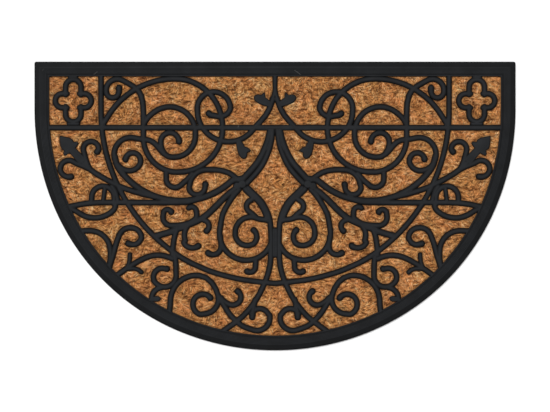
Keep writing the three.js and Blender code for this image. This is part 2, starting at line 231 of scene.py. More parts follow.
STRIPS = [
    # The straight bar, and the bar that runs down from the rim and round as an arch.
    strip("top_bar", width=BAR, legs=[spot(-1, 122, 0), spot(355, 122, 0)]),
    strip("arch", width=BAR, legs=[
        spot(271, 206, -90), turn(0, 147, 271, 270, 0, -57), spot(111, -97.5, -156), spot(74, -109.5, -165),
        spot(20, -118.5, -174), spot(-2, -120.5, -178)]),
    # The stem from the middle of the straight edge, with its low sweep, loop and hook.
    strip("stem_top", width=THIN, legs=[spot(-0.5, 206, -90), spot(0, 184, -87), spot(6, 160, -70)]),
    strip("stem", curl=True, legs=[
        spot(3, 168, -74), spot(9.5, 150, -66), turn(72, 148.5, 48, 49, 218, 350),
        turn(95.5, 152, 25.5, 26, -5, 178), turn(91, 154, 21, 14, 195, 270), spot(103, 144, 55)]),
    # The great ring: from the side bar over the top and round, then up into the corner scroll.
    strip("great_ring", legs=[
        spot(271, 122, 118), turn(155, 78, 122, 120, 30, 94), turn(150, 120.5, 75, 69.5, 112, 158),
        turn(150, 120.5, 68.5, 67.5, 176, 262)]),
    strip("ring_side", legs=[
        turn(150, 120.5, 67.5, 67.5, 258, 268), turn(151, 106, 53.5, 54, -78, 0), spot(205, 145, 89),
        spot(211, 177, 64)]),
    strip("corner_scroll", curl=True, legs=[
        spot(208, 171, 70), turn(246, 180, 18, 17, 120, 0), turn(252.5, 178.5, 10.5, 9.5, -15, -150),
        spot(243, 184, 85)]),
    # The inner ring, which swings back into the side curl.
    strip("inner_ring", legs=[
        spot(204.5, 127, 112), turn(165, 115, 39, 41, 58, 180), turn(157.5, 110, 33.5, 34, 185, 285)]),
    strip("side_curl", curl=True, legs=[
        spot(166, 77.5, 18), spot(189, 99, 38), turn(224, 81, 25.5, 27, 105, -20), spot(229, 55, 188),
        turn(222, 71, 13, 11, -150, -350)]),
    strip("inner_ring_hook", curl=True, legs=[spot(172, 82, 50), turn(163.5, 100, 14.5, 14, 0, 178)]),
]
print(len(STRIPS), "strips so far")

# %% [markdown]
# Under the great ring a broad sweep runs out to the side bar, and a long low bar runs on to the rim. The
# outer branch starts where the two meet, crosses the arch and ends in a leaf between two scrolls.

# %% Strips below the great ring
STRIPS += [
    # The sweep under the great ring, and the long low bar that runs out to the rim.
    strip("low_sweep", width=BROAD, legs=[
        spot(50, 43, -18), turn(147, 125, 117, 117, 228, 325), spot(250, 78, 78)]),
    strip("low_bar", legs=[
        spot(118, 11, -12), spot(140, 6, -2), spot(225, 5.5, 0), spot(283, 5, -3), spot(328, -3, -14)]),
    strip("lens_below", legs=[spot(247.5, 6, -75), turn(281, 23.5, 42, 42, 226, 305), spot(322, -2, 22)]),
    strip("hump", legs=[spot(250.5, 3, 90), turn(268, 13.5, 17.5, 17.5, 176, 4), spot(285.7, 5, -92)]),
    strip("hump_root", legs=[spot(245, 6, 92), spot(247, 16, 78), spot(254, 30, 45)]),
    strip("hump_spur", width=THIN, legs=[spot(268, 5, 97), spot(265, 28, 97)]),
    # What ties the four-lobed figure to the rim and to the straight bar.
    strip("lobe_head", width=THIN, legs=[spot(310, 200.5, 0), spot(319, 200.5, 0)]),
    strip("lobe_foot", width=THIN, legs=[spot(307, 128, 0), spot(321, 128, 0)]),
    # The outer branch, its scroll on either side, and the leaf between them.
    strip("branch", legs=[spot(180, 13, 10), spot(230, 26, 18), spot(268, 44, 28), spot(309, 77, 47)]),
    strip("branch_inner_scroll", curl=True, legs=[
        spot(287, 56, 52), turn(286.5, 88.5, 12, 12, -15, 180), spot(277, 84.5, -70)]),
    strip("branch_outer_scroll", curl=True, legs=[
        spot(290, 58, 35), turn(320, 58.5, 12, 14.5, 118, 0), turn(320, 58.5, 14.5, 13, -18, -100)]),
]
print(len(STRIPS), "strips so far")

# %% [markdown]
# Two strips side by side make the thick stem. They overlap only a little, so that the union leaves a dark
# groove between two ridges. The heart, a scroll and the diagonal all spring from the boss at the stem's
# foot.

# %% The thick stem, the heart and the diagonal
STRIPS += [
    # The thick stem from the bar to the boss, of two strips, and the scroll that leaves the boss.
    strip("thick_stem_inner", legs=[
        spot(4, 118, -85), spot(10, 86, -69), spot(23.5, 58.6, -54), spot(43.8, 35.7, -47)]),
    strip("thick_stem_outer", width=BROAD, legs=[
        spot(7.5, 118, -80), spot(16.8, 87.3, -66), spot(31, 63.2, -50), spot(51, 41, -47)]),
    strip("boss_scroll", curl=True, legs=[
        spot(56, 40, 38), spot(80, 54.5, 14), turn(107, 30, 26.5, 26, 90, 8),
        turn(121.5, 30, 12.5, 12.5, -8, -178), spot(108.5, 33.5, 88)]),
    strip("ring_pendant", legs=[
        spot(129, 50, -55), turn(156.5, 43, 14.5, 13, 225, 358), spot(169.5, 52, 90)]),
    # The heart below the boss: its outer side, its inner strand and their curls.
    strip("heart_outer", legs=[
        spot(56, 26, -45), spot(77.5, -4, -60), turn(44, -43, 42.5, 41, 10, -140), spot(6, -58, 120)]),
    strip("heart_strand", legs=[
        spot(42, 28, -130), spot(19, 4, -122), spot(7, -30, -94), spot(6.8, -82, -87), spot(18, -124, -66),
        spot(42, -163, -50), spot(80, -194, -35)]),
    strip("heart_shoulder", width=BROAD, legs=[
        spot(46, 26, -132), spot(22, 3, -122), spot(11, -22, -105)]),
    strip("strand_web", width=THIN, legs=[spot(1.5, -37, -90), spot(1.5, -77, -90)]),
    strip("heart_eye", legs=[spot(28, 14, 5), turn(34.5, -0.5, 10, 10, 62, -58), spot(29, -18, -140)]),
    strip("heart_spiral", curl=True, legs=[
        spot(9, -24, 40), turn(38, -41, 24, 24, 115, 0), turn(42, -43, 20, 18, -15, -110),
        turn(43, -46, 16, 13, -130, -220)]),
    strip("heart_side_hook", curl=True, legs=[spot(85, -48, -90), turn(96, -63, 12, 13, 195, 308)]),
    strip("heart_low_hook", curl=True, legs=[spot(30, -83, -92), turn(39, -94.5, 8.5, 8.5, 182, 300)]),
    # The diagonal from the boss to the arch, and the two scrolls that spring from it.
    strip("diagonal", width=BROAD, legs=[
        spot(55, 32, -38), spot(85, 7, -46), spot(112, -18, -35), spot(150, -35, -25), spot(187, -47, -15)]),
    strip("upper_scroll", curl=True, legs=[
        spot(122, -18, -45), spot(138, -28, -15), turn(161.5, -17, 13.5, 13, -90, 15),
        turn(167, -12, 7, 6, 25, 150)]),
    strip("upper_scroll_back", legs=[spot(123, -20, 108), turn(130, -8.5, 7.5, 7, 172, 52)]),
    strip("lower_scroll", curl=True, legs=[
        spot(110, -21, 10), turn(119, -46, 23, 22, 75, -20), turn(130, -50, 14, 16, -30, -130)]),
    strip("lower_scroll_back", curl=True, legs=[
        spot(117, -20, 185), turn(112, -31.5, 9.5, 9, 110, 232)]),
    strip("arch_tie", legs=[spot(150, -33, -50), spot(157, -50, -78), spot(160, -76, -85)]),
]
print(len(STRIPS), "strips so far")

# %% [markdown]
# The field outside the arch has smaller scrolls, and some of them run into the rim. At the foot a large
# spiral and a hooked scroll cross the long strand that comes down from the heart.

# %% Strips outside the arch
STRIPS += [
    # The thorned branch, the curl under it and the scroll by the rim.
    strip("thorn_branch", legs=[
        spot(160, -82, 25), spot(184, -76.5, -2), spot(212, -85.5, -28), spot(252, -112, -35)]),
    strip("thorn_up", width=THIN, legs=[spot(231, -97, 118), spot(226.5, -84, 95), spot(226, -75.5, 90)]),
    strip("thorn_down", width=THIN, legs=[
        spot(234, -98.5, 172), spot(218, -97.5, 190), spot(208, -103, 222)]),
    strip("low_curl", curl=True, legs=[
        spot(157, -76, -110), turn(172, -108.5, 18, 17.5, 175, 305), turn(175.5, -110.5, 14, 13.5, -30, 108),
        spot(168.5, -98, 188)]),
    strip("low_curl_foot", legs=[spot(177, -127, -8), spot(186, -131, -38), spot(192, -145, -92)]),
    strip("edge_scroll", curl=True, legs=[
        spot(260, -103, 103), spot(250.5, -70, 103), turn(223, -50, 20, 16, 15, 90),
        turn(223, -50, 16, 14.8, 95, 180), turn(221, -48.5, 12, 11.5, 205, 275), spot(228.5, -58.5, 20)]),
    strip("edge_bow", legs=[
        spot(259, -98, 100), turn(288, -70, 31.5, 31.5, 170, 95), spot(310, -40, -5)]),
    # The foot: the large spiral, and the scroll with its hook that crosses the long strand.
    strip("large_spiral", curl=True, legs=[
        spot(165, -172, 92), turn(122, -148, 41, 40, 0, 97), turn(111.5, -145, 23.5, 23, 165, 265),
        turn(111.5, -152, 17.5, 14, -65, 140)]),
    strip("foot_scroll", curl=True, legs=[
        spot(87, -141, -108), spot(78, -157, -118), spot(55, -184, -140), turn(28, -174, 20, 20, -70, -190),
        turn(25, -174, 15.5, 13, -205, -330)]),
    strip("foot_spur", curl=True, legs=[spot(31, -146, -78), spot(35.5, -173, -84)]),
    strip("foot_hook", curl=True, legs=[spot(84, -143, -120), turn(64.5, -140.5, 14.5, 10, -55, -230)]),
]
print(len(STRIPS), "strips so far")

# %% [markdown]
# The figure in the corner has four lobes. Each is a half circle with two straight sides that run back to
# the middle. The arc is a degree short at both ends, and its joins to the sides make up for that. A leaf is
# a row as well. Its edge is a list of places, each with how far out it lies, as a share of the leaf's
# length, and how far aside, as a share of its width. Two round bosses cover the place where the stems meet.

# %% Lobes, leaves and bosses
LOBES = [
    # (direction, how far out the eye lies, radius, length of the sides)
    (0, 17, 11, 7), (90, 21.2, 12, 11.7), (180, 17, 11, 7), (270, 21, 12, 11.5),
]
QUATREFOIL = Vector((314.2, 164, 0))
LOBE_ARC = 89


def along(angle):
    return Vector((math.cos(math.radians(angle)), math.sin(math.radians(angle)), 0))


for direction, offset, radius, side in LOBES:
    eye = QUATREFOIL + along(direction) * offset
    foot = eye - along(direction) * side
    start, end = foot + along(direction + 90) * radius, foot + along(direction - 90) * radius
    STRIPS.append(strip(f"lobe_{direction}", legs=[
        spot(start.x, start.y, direction),
        turn(eye.x, eye.y, radius, radius, direction + LOBE_ARC, direction - LOBE_ARC),
        spot(end.x, end.y, direction + 180)]))

LEAF_EDGES = {
    "pointed": [(-0.1, 0.3), (0.1, 0.42), (0.3, 0.5), (0.5, 0.46), (0.7, 0.32), (0.87, 0.16), (1.0, 0.05)],
    "blunt": [(-0.1, 0.3), (0.1, 0.38), (0.3, 0.45), (0.5, 0.5), (0.7, 0.49), (0.85, 0.4), (0.95, 0.25),
              (1.0, 0.1)],
    "barbed": [(-0.15, 0.24), (0.37, 0.2), (0.39, 0.4), (0.42, 0.5), (0.5, 0.49), (0.56, 0.34), (0.64, 0.38),
               (0.75, 0.33), (0.88, 0.18), (0.97, 0.07), (1.0, 0.02)],
}
LEAVES = [
    # (name, edge, root x, root y, heading, length, width)
    ("stem_bud_out", "blunt", 8.5, 158.5, 27, 27, 14),
    ("stem_bud_up", "pointed", 21, 163, 108, 15, 9),
    ("sweep_bud_down", "blunt", 56.5, 100, 250, 28, 14),
    ("sweep_bud_out", "pointed", 50, 88, 190, 13, 10),
    ("branch_leaf", "barbed", 303, 73, 48, 48, 30),
    ("foot_thorn", "blunt", 194, -145, 177, 16, 9),
]
BOSSES = [
    # (x, y, radius)
    (51, 34, 7), (59, 31, 6.5),
]
print(len(STRIPS), "strips and", len(LEAVES), "leaves on each half")


# %% [markdown]
# Blender's own curve is the right tool for a strip: a Bézier curve carries a section along it, and the
# result can be made a mesh. A turn gives a knot every thirty degrees or so, with the handle length that
# makes a Bézier curve follow a circle. A spot gives one knot, with handles along its heading.

# %% From legs to Bézier knots
JOIN_PULL = 0.36
KNOT_TURN = 30
KNOT_SPACING = 30
CENTRE_SPACING = 1.5
END_DOME = [(0.45, 0.9), (0.8, 0.6), (0.95, 0.3), (1.0, 0.02)]


def leg_knots(leg):
    """Knots of one leg, as a point, a heading and the handles' lengths before and after it."""
    if "eye" not in leg:
        return [[Vector((leg["x"], leg["y"], 0)), along(leg["heading"]), 0, 0]]
    (r0, r1), (a0, a1) = leg["radii"], leg["angles"]
    sweep = a1 - a0
    arc = abs(math.radians(sweep)) * max(r0, r1)
    steps = max(1, math.ceil(abs(sweep) / KNOT_TURN), math.ceil(arc / KNOT_SPACING))
    part = math.radians(abs(sweep) / steps)
    eye = Vector((*leg["eye"], 0))
    knots = []
    for i in range(steps + 1):
        angle = a0 + sweep * i / steps
        radius = r0 + (r1 - r0) * i / steps
        drift = (r1 - r0) / math.radians(sweep)
        heading = (along(angle + 90) * radius + along(angle) * drift).normalized() * math.copysign(1, sweep)
        handle = 4 / 3 * math.tan(part / 4) * radius
        knots.append([eye + along(angle) * radius, heading, handle if i else 0, handle if i < steps else 0])
    return knots


def path_knots(legs):
    knots = []
    for leg in legs:
        fresh = leg_knots(leg)
        if knots:
            pull = (fresh[0][0] - knots[-1][0]).length * JOIN_PULL
            knots[-1][3] = pull
            fresh[0][2] = pull
        knots.extend(fresh)
    return knots


def centreline(legs):
    """Points along a strip, for measuring how far a fibre is from the rubber."""
    points = []
    knots = path_knots(legs)
    for (p, h, _, after), (q, k, before, _) in zip(knots, knots[1:]):
        count = max(2, math.ceil((q - p).length / CENTRE_SPACING) + 1)
        points.extend(geometry.interpolate_bezier(p, p + h * after, q - k * before, q, count)[:-1])
    return points + [knots[-1][0]]


print(sum(len(path_knots(row["legs"])) for row in STRIPS), "Bézier knots on each half")


# %% [markdown]
# A moulded strip has a round back and steep sides. Its section is a closed curve with a row for each point:
# how far across, as a share of the width, and how high, as a share of the height. The section rides on the
# path at the height where the strip leaves the coir. At an open end the section shrinks along a quarter
# circle, which closes the strip with a dome, and a curl's free end first swells a little.

# %% Strips as swept curves
STRIP_FOOT = 6.1
STRIP_HEIGHT = TOP - STRIP_FOOT
SECTION = [(0.5, 0.0), (0.49, 0.26), (0.44, 0.52), (0.34, 0.76), (0.19, 0.93), (0.0, 1.0)]
CURL_SWELL = 1.14
CURVE_STEPS = 4
MERGE = 0.02
sections = {}


def section_curve(width):
    """The section of a strip of that width, made once for each width."""
    if width not in sections:
        data = bpy.data.curves.new(f"section_{width}", "CURVE")
        data.dimensions = "2D"
        right = [(across * width * MM, up * STRIP_HEIGHT * MM) for across, up in SECTION]
        outline = right + [(-x, y) for x, y in reversed(right[:-1])]
        spline = data.splines.new("POLY")
        spline.points.add(len(outline) - 1)
        for point, (x, y) in zip(spline.points, outline):
            point.co = (x, y, 0, 1)
        spline.use_cyclic_u = True
        sections[width] = bpy.data.objects.new(f"section_{width}", data)
        bpy.context.collection.objects.link(sections[width])
    return sections[width]


def sweep_strip(name, knots, width, scales):
    """A closed strip along the knots, whose section is scaled by a number at each knot."""
    bpy.ops.curve.primitive_bezier_curve_add(location=(0, 0, 0))
    obj = bpy.context.object
    obj.name = name
    curve = obj.data
    curve.twist_mode = "Z_UP"
    curve.resolution_u = CURVE_STEPS
    curve.bevel_mode = "OBJECT"
    curve.bevel_object = section_curve(width)
    curve.use_fill_caps = True
    spline = curve.splines[0]
    spline.radius_interpolation = "LINEAR"
    spline.bezier_points.add(len(knots) - len(spline.bezier_points))
    lift = Vector((0, 0, STRIP_FOOT))
    for target, (point, heading, before, after), scale in zip(spline.bezier_points, knots, scales):
        target.handle_left_type = target.handle_right_type = "FREE"
        target.co = (point + lift) * MM
        target.handle_left = (point + lift - heading * before) * MM
        target.handle_right = (point + lift + heading * after) * MM
        target.radius = scale
    activate(obj)
    bpy.ops.object.convert(target="MESH")
    bpy.ops.object.mode_set(mode="EDIT")
    bpy.ops.mesh.select_all(action="SELECT")
    bpy.ops.mesh.remove_doubles(threshold=MERGE * MM)
    bpy.ops.mesh.normals_make_consistent(inside=False)
    leave_edit()
    return bpy.context.object


def dome(knot, width, swell, sign):
    """The knots that close a strip past its last knot, or before its first when sign is -1."""
    point, heading = knot[0], knot[1]
    half = width / 2 * swell
    steps = []
    past = 0
    for share, size in END_DOME:
        gap = (share - past) * half / 3
        steps.append(([point + heading * sign * share * half, heading, gap, gap], size * swell))
        past = share
    return steps


def make_strip(row):
    width = row["width"]
    swell = CURL_SWELL if row["curl"] else 1
    knots = path_knots(row["legs"])
    scales = [1.0] * (len(knots) - 1) + [swell]
    tail = dome(knots[-1], width, swell, 1)
    head = dome(knots[0], width, 1, -1)[::-1]
    first_gap = END_DOME[0][0] * width / 6
    knots[-1][3] = first_gap * swell
    knots[0][2] = first_gap
    every = [k for k, _ in head] + knots + [k for k, _ in tail]
    sizes = [s for _, s in head] + scales + [s for _, s in tail]
    return sweep_strip(row["name"], every, width, sizes)


print("a strip stands", round(STRIP_HEIGHT, 1), "mm above the place where it leaves the coir")


# %% [markdown]
# A leaf is cut from a flat plate. A circle with as many corners as the leaf is filled, its corners are
# moved on to the leaf's edge, the face is extruded up, and the upper edge is bevelled. A boss is a low
# cylinder with the same bevel, a little wider.

# %% Leaves and bosses
LEAF_ROUND = 1.6
LEAF_ROUND_SHARE = 0.15
BOSS_ROUND = 2.2
BOSS_VERTICES = 48
ROUND_SEGMENTS = 4


def round_upper_edge(obj, offset):
    pick(obj, "FACE", lambda f: f.normal.z > LEVEL)
    bpy.ops.mesh.bevel(offset=offset * MM, segments=ROUND_SEGMENTS, affect="EDGES")
    leave_edit()
    return obj


def make_leaf(row):
    name, edge, x, y, heading, length, width = row
    root, way, across = Vector((x, y, STRIP_FOOT)), along(heading), along(heading + 90)
    right = [root + way * out * length - across * aside * width for out, aside in LEAF_EDGES[edge]]
    left = [root + way * out * length + across * aside * width for out, aside in LEAF_EDGES[edge]]
    outline = right + left[::-1]
    bpy.ops.mesh.primitive_circle_add(vertices=len(outline), fill_type="NGON")
    leaf = bpy.context.object
    leaf.name = name
    for vertex, place in zip(leaf.data.vertices, outline):
        vertex.co = place * MM
    pick(leaf, "FACE", lambda f: True)
    bpy.ops.mesh.extrude_region_move(TRANSFORM_OT_translate={"value": (0, 0, STRIP_HEIGHT * MM)})
    bpy.ops.mesh.select_all(action="SELECT")
    bpy.ops.mesh.normals_make_consistent(inside=False)
    leave_edit()
    return round_upper_edge(leaf, min(LEAF_ROUND, LEAF_ROUND_SHARE * width))


def make_boss(x, y, radius):
    bpy.ops.mesh.primitive_cylinder_add(vertices=BOSS_VERTICES, radius=radius * MM, depth=STRIP_HEIGHT * MM,
                                        location=(x * MM, y * MM, (STRIP_FOOT + STRIP_HEIGHT / 2) * MM))
    boss = bpy.context.object
    boss.name = "boss"
    bpy.ops.object.transform_apply(location=True, rotation=True, scale=True)
    return round_upper_edge(boss, BOSS_ROUND)


print("the widest leaf is", max(row[-1] for row in LEAVES), "mm wide")


# %% [markdown]
# The strips cross and touch, and in the mould they are one piece. Joining them one after another with a
# boolean union gives one closed skin with clean valleys where two strips meet. The right half is made
# first. Its mirror image is the left half. Both are cut off a little inside the rim, so that the strips
# bite into it, and joined to the tray.

# %% The whole moulding
STRIP_BITE = 1.5
RUBBER_SMOOTH = 38

pieces = [make_strip(row) for row in STRIPS] + [make_leaf(row) for row in LEAVES]
pieces += [make_boss(*row) for row in BOSSES]
grille = pieces[0]
for piece in pieces[1:]:
    apply_boolean(grille, piece, "UNION")
print("right half", triangles(grille), "triangles")

left = grille.copy()
left.data = grille.data.copy()
bpy.context.collection.objects.link(left)
activate(left)
bpy.ops.transform.resize(value=(-1, 1, 1))
bpy.ops.object.transform_apply(location=True, rotation=True, scale=True)
bpy.ops.object.mode_set(mode="EDIT")
bpy.ops.mesh.select_all(action="SELECT")
bpy.ops.mesh.normals_make_consistent(inside=False)
leave_edit()
apply_boolean(grille, left, "UNION")
apply_boolean(grille, half_round_slab("trim", RIM - STRIP_BITE, 0, TOP + BEYOND), "INTERSECT")
apply_boolean(tray, grille, "UNION")
for section in sections.values():
    bpy.data.objects.remove(section)
activate(tray)
bpy.ops.object.shade_smooth_by_angle(angle=math.radians(RUBBER_SMOOTH))
print("rubber moulding", triangles(tray), "triangles")


# %% [markdown]
# The coir panel is a thick felt of coconut fibre. Its body is a slab, cut out of a fine grid so that its top
# can be lumpy. Two Displace modifiers, one with wide and one with small clouds, move the top by a few
# tenths of a millimetre, and a vertex group keeps the underside flat.

# %% The body of the coir
COIR_CELL = 2.6
COIR_TOP = 5.5
LUMPS = [
    # (size of the clouds, height)
    (11, 0.35), (4, 0.3),
]
COIR_SMOOTH = 60

bpy.ops.mesh.primitive_grid_add(x_subdivisions=round(2 * RADIUS / COIR_CELL),
                                y_subdivisions=round(2 * STRAIGHT_EDGE / COIR_CELL), size=2)
coir_body = bpy.context.object
coir_body.name = "coir_panel_fine"
coir_body.scale = (RADIUS * MM, STRAIGHT_EDGE * MM, 1)
coir_body.location = (0, 0, COIR_BOTTOM * MM)
bpy.ops.object.transform_apply(location=True, rotation=True, scale=True)
pick(coir_body, "FACE", lambda f: True)
bpy.ops.mesh.extrude_region_move(TRANSFORM_OT_translate={"value": (0, 0, (COIR_TOP - COIR_BOTTOM) * MM)})
bpy.ops.mesh.select_all(action="SELECT")
bpy.ops.mesh.normals_make_consistent(inside=False)
leave_edit()
apply_boolean(coir_body, half_round_slab("coir_outline", RIM + CLEARANCE, 0, TOP, POCKET_CORNER), "INTERSECT")

top_points = coir_body.vertex_groups.new(name="top")
top_points.add([v.index for v in coir_body.data.vertices if v.co.z > (COIR_TOP - NEAR) * MM], 1, "REPLACE")
activate(coir_body)
for size, height in LUMPS:
    clouds = bpy.data.textures.new(f"clouds_{size}", "CLOUDS")
    clouds.noise_scale = size * MM
    displace = coir_body.modifiers.new("lumps", "DISPLACE")
    displace.texture = clouds
    displace.texture_coords = "LOCAL"
    displace.direction = "Z"
    displace.strength = height * MM
    displace.vertex_group = "top"
    bpy.ops.object.modifier_apply(modifier=displace.name)
bpy.ops.object.shade_smooth_by_angle(angle=math.radians(COIR_SMOOTH))
heights = [v.co.z / MM for v in coir_body.data.vertices]
print("coir body", triangles(coir_body), "triangles, top at most", round(max(heights), 2), "mm")


# %% [markdown]
# The fibres give the coir its look, so they are real geometry. There are tens of thousands of them, and each
# is a bowed three-sided strand of a few triangles. No fibre may enter the rubber, so a tree of points along
# the strips, leaves and bosses says how much room there is at any place.

# %% Where the rubber leaves room
rubber_points = []
for row in STRIPS:
    rubber_points += [(point.x, point.y, row["width"] / 2) for point in centreline(row["legs"])]
for _, edge, x, y, heading, length, width in LEAVES:
    for out, aside in LEAF_EDGES[edge]:
        place = Vector((x, y, 0)) + along(heading) * out * length
        rubber_points.append((place.x, place.y, width * aside))
rubber_points += BOSSES
rubber_points += [(-x, y, reach) for x, y, reach in rubber_points]

rubber_tree = kdtree.KDTree(len(rubber_points))
for i, (x, y, _) in enumerate(rubber_points):
    rubber_tree.insert((x, y, 0), i)
rubber_tree.balance()


def room_at(x, y):
    """How far a point is from the nearest rubber, in millimetres; negative inside it."""
    pocket = RADIUS - RIM
    to_rim = min(STRAIGHT_EDGE - RIM - y, pocket - abs(x))
    if y < ROUND_CENTRE:
        to_rim = min(to_rim, radius_at(x, y, pocket) - math.hypot(x, y - ROUND_CENTRE))
    _, index, distance = rubber_tree.find((x, y, 0))
    return min(to_rim, distance - rubber_points[index][2])


print(len(rubber_points), "points stand for the rubber")


# %% [markdown]
# Coir lies in small tufts whose fibres run much the same way. Scattered sites each hold a direction and a
# shade, and a fibre takes those of its nearest site, with some scatter. One fibre in a few is a thicker
# strand of several. The middle of a fibre rides higher than its ends, which dip into the felt. An end that
# would enter the rubber is drawn back, and fibres close beside a strip are painted darker, as painted shade.

# %% Placing the fibres
FIBRE_COUNT = 44000
FIBRE_LENGTH = (6, 14)
FIBRE_RADIUS = (0.2, 0.45)
STRAND_SHARE = 0.22
STRAND_LENGTH = (5, 11)
STRAND_RADIUS = (0.45, 0.8)
SHORTEST = 0.8
DRAW_BACK = 0.7
FIBRE_BED = 5.6
PILE = 1.7
PILE_REACH = 3
DIP = (0.2, 1.3)
BEND = 0.15
TUFT_SPACING = 9
TUFT_SCATTER = 17
TUFT_SHADE = 0.11
EDGE_GAP = 0.3
# Painted shade: fibres within this reach of the rubber are darkened, by up to the next value.
PAINTED_SHADE_REACH = 2.2
PAINTED_SHADE_BESIDE_STRIPS = 0.3
RISE_SPREAD = (1.3, 1.3)
SHADE_SPREAD = (1.7, 1.5)
SEED = 7

rng = np.random.default_rng(SEED)
tuft_count = round(4 * RADIUS * STRAIGHT_EDGE / TUFT_SPACING ** 2)
tufts = kdtree.KDTree(tuft_count)
for i in range(tuft_count):
    tufts.insert((rng.uniform(-RADIUS, RADIUS), rng.uniform(-STRAIGHT_EDGE, STRAIGHT_EDGE), 0), i)
tufts.balance()
tuft_heading = rng.uniform(0, 180, tuft_count)
tuft_shade = rng.normal(0, TUFT_SHADE, tuft_count)


def free_end(x, y, angle, reach, radius):
    """The end of a fibre, drawn back until it is clear of the rubber, or None."""
    while reach > SHORTEST:
        end = (x + reach * math.cos(angle), y + reach * math.sin(angle))
        if room_at(*end) > radius + EDGE_GAP:
            return end
        reach *= DRAW_BACK
    return None


def place_fibre():
    """One fibre as its three centres, its radius and its shade, or None where it has no room."""
    x = rng.uniform(-RADIUS, RADIUS)
    y = rng.uniform(-STRAIGHT_EDGE, STRAIGHT_EDGE)
    is_strand = rng.random() < STRAND_SHARE
    radius = rng.uniform(*(STRAND_RADIUS if is_strand else FIBRE_RADIUS))
    length = rng.uniform(*(STRAND_LENGTH if is_strand else FIBRE_LENGTH))
    room = room_at(x, y)
    if room < radius + EDGE_GAP:
        return None
    _, tuft, _ = tufts.find((x, y, 0))
    heading = math.radians(tuft_heading[tuft] + rng.normal(0, TUFT_SCATTER))
    bend = rng.normal(0, BEND)
    ends = [free_end(x, y, angle, length / 2, radius) for angle in (heading + bend, heading + math.pi - bend)]
    if None in ends:
        return None
    rise = min(1, room / PILE_REACH) * PILE * rng.beta(*RISE_SPREAD)
    tips = [(*end, FIBRE_BED + max(0, rise - rng.uniform(*DIP))) for end in ends]
    # Painted shade beside the rubber, taken off the fibre's shade.
    painted_shade = PAINTED_SHADE_BESIDE_STRIPS * max(0, 1 - room / PAINTED_SHADE_REACH)
    shade = min(1, max(0, rng.beta(*SHADE_SPREAD) + tuft_shade[tuft] - painted_shade))
    return tips[0], (x, y, FIBRE_BED + radius + rise), tips[1], radius, shade


fibres = []
while len(fibres) < FIBRE_COUNT:
    fibre = place_fibre()
    if fibre is not None:
        fibres.append(fibre)
print(len(fibres), "fibres placed in", tuft_count, "tufts")


# %% [markdown]
# The strands are built as arrays, because an operator for each would take hours. A strand has three rings
# of three points: at its start, its middle and its end. The shade goes into an attribute, which the
# material reads. They are dealt out over a few pieces, so that none grows too large.

# %% The fibres as meshes
FIBRE_PIECES = 4
RING = 3
TIP_SHARE = 0.55


def fibre_mesh(name, rows):
    centres = np.array([row[:3] for row in rows]) * MM
    radii = np.array([row[3] for row in rows]) * MM
    run = centres[:, 2] - centres[:, 0]
    run /= np.linalg.norm(run, axis=1)[:, None]
    across = np.cross(run, [0, 0, 1])
    across /= np.linalg.norm(across, axis=1)[:, None]
    lift = np.cross(across, run)
    corners = []
    for ring, share in enumerate((TIP_SHARE, 1, TIP_SHARE)):
        for corner in range(RING):
            angle = math.radians(90 + 360 * corner / RING)
            offset = across * math.cos(angle) + lift * math.sin(angle)
            corners.append(centres[:, ring] + offset * (radii * share)[:, None])
    points = np.stack(corners, axis=1).reshape(-1, 3)

    first = np.arange(len(rows))[:, None] * 3 * RING
    sides = []
    for low in (0, RING):
        for c in range(RING):
            after = (c + 1) % RING
            sides.append([low + c, low + RING + c, low + RING + after, low + after])
    quads = (first + np.array(sides).reshape(1, -1)).reshape(-1, 4)
    caps = (first + np.array([[0, 1, 2, 8, 7, 6]])).reshape(-1, 3)

    mesh = bpy.data.meshes.new(name)
    mesh.from_pydata(points.tolist(), [], quads.tolist() + caps.tolist())
    shade = mesh.attributes.new("shade", "FLOAT", "POINT")
    shade.data.foreach_set("value", np.repeat([row[4] for row in rows], 3 * RING))
    obj = bpy.data.objects.new(name, mesh)
    bpy.context.collection.objects.link(obj)
    return obj


fibre_pieces = [fibre_mesh(f"coir_fibres_{i + 1}", fibres[i::FIBRE_PIECES]) for i in range(FIBRE_PIECES)]
print([triangles(piece) for piece in fibre_pieces], "triangles in the fibre pieces")


# %% [markdown]
# A few fibres always work loose. They lie on the black rubber of the top rim and the straight bar, and are
# grey with dust. Their material has one colour, so they all carry the same shade.

# %% Stray fibres on the rubber
STRAYS = [
    # (x, y, heading, length)
    (-279, 207, 40, 7), (35, 208, -36, 12), (-57, 124, 75, 5), (-361, 212, 60, 3),
]
STRAY_RADIUS = 0.2
STRAY_SHADE = 0.2

strays = []
for x, y, heading, length in STRAYS:
    centre, reach = Vector((x, y, TOP)), along(heading) * length / 2
    strays.append([tuple(centre - reach), tuple(centre + Vector((0, 0, STRAY_RADIUS))),
                   tuple(centre + reach), STRAY_RADIUS, STRAY_SHADE])
stray_fibres = fibre_mesh("stray_fibres", strays)
print(len(strays), "stray fibres")


# %% [markdown]
# Rubber is black but never quite even. A noise a millimetre fine gives it the grain of the mould, as bump,
# and a wide one makes it greyer here and there. Its grey-blue tint is a painted sheen. The colour also
# follows the way that the surface faces: what faces up keeps it, and the flanks of the strips are painted
# nearly black, as painted shade.

# %% Rubber
def new_material(name, roughness, specular):
    material = bpy.data.materials.new(name)
    material.use_nodes = True
    shader = material.node_tree.nodes["Principled BSDF"]
    shader.inputs["Roughness"].default_value = roughness
    shader.inputs["Specular IOR Level"].default_value = specular
    return material, shader


def add_node(material, kind, **values):
    """A node with its settings and its unlinked inputs. An input is named with spaces as underscores."""
    node = material.node_tree.nodes.new(kind)
    for key, value in values.items():
        if key in node.bl_rna.properties:
            setattr(node, key, value)
        else:
            node.inputs[key.replace("_", " ")].default_value = value
    return node


def link(material, output, target):
    material.node_tree.links.new(output, target)


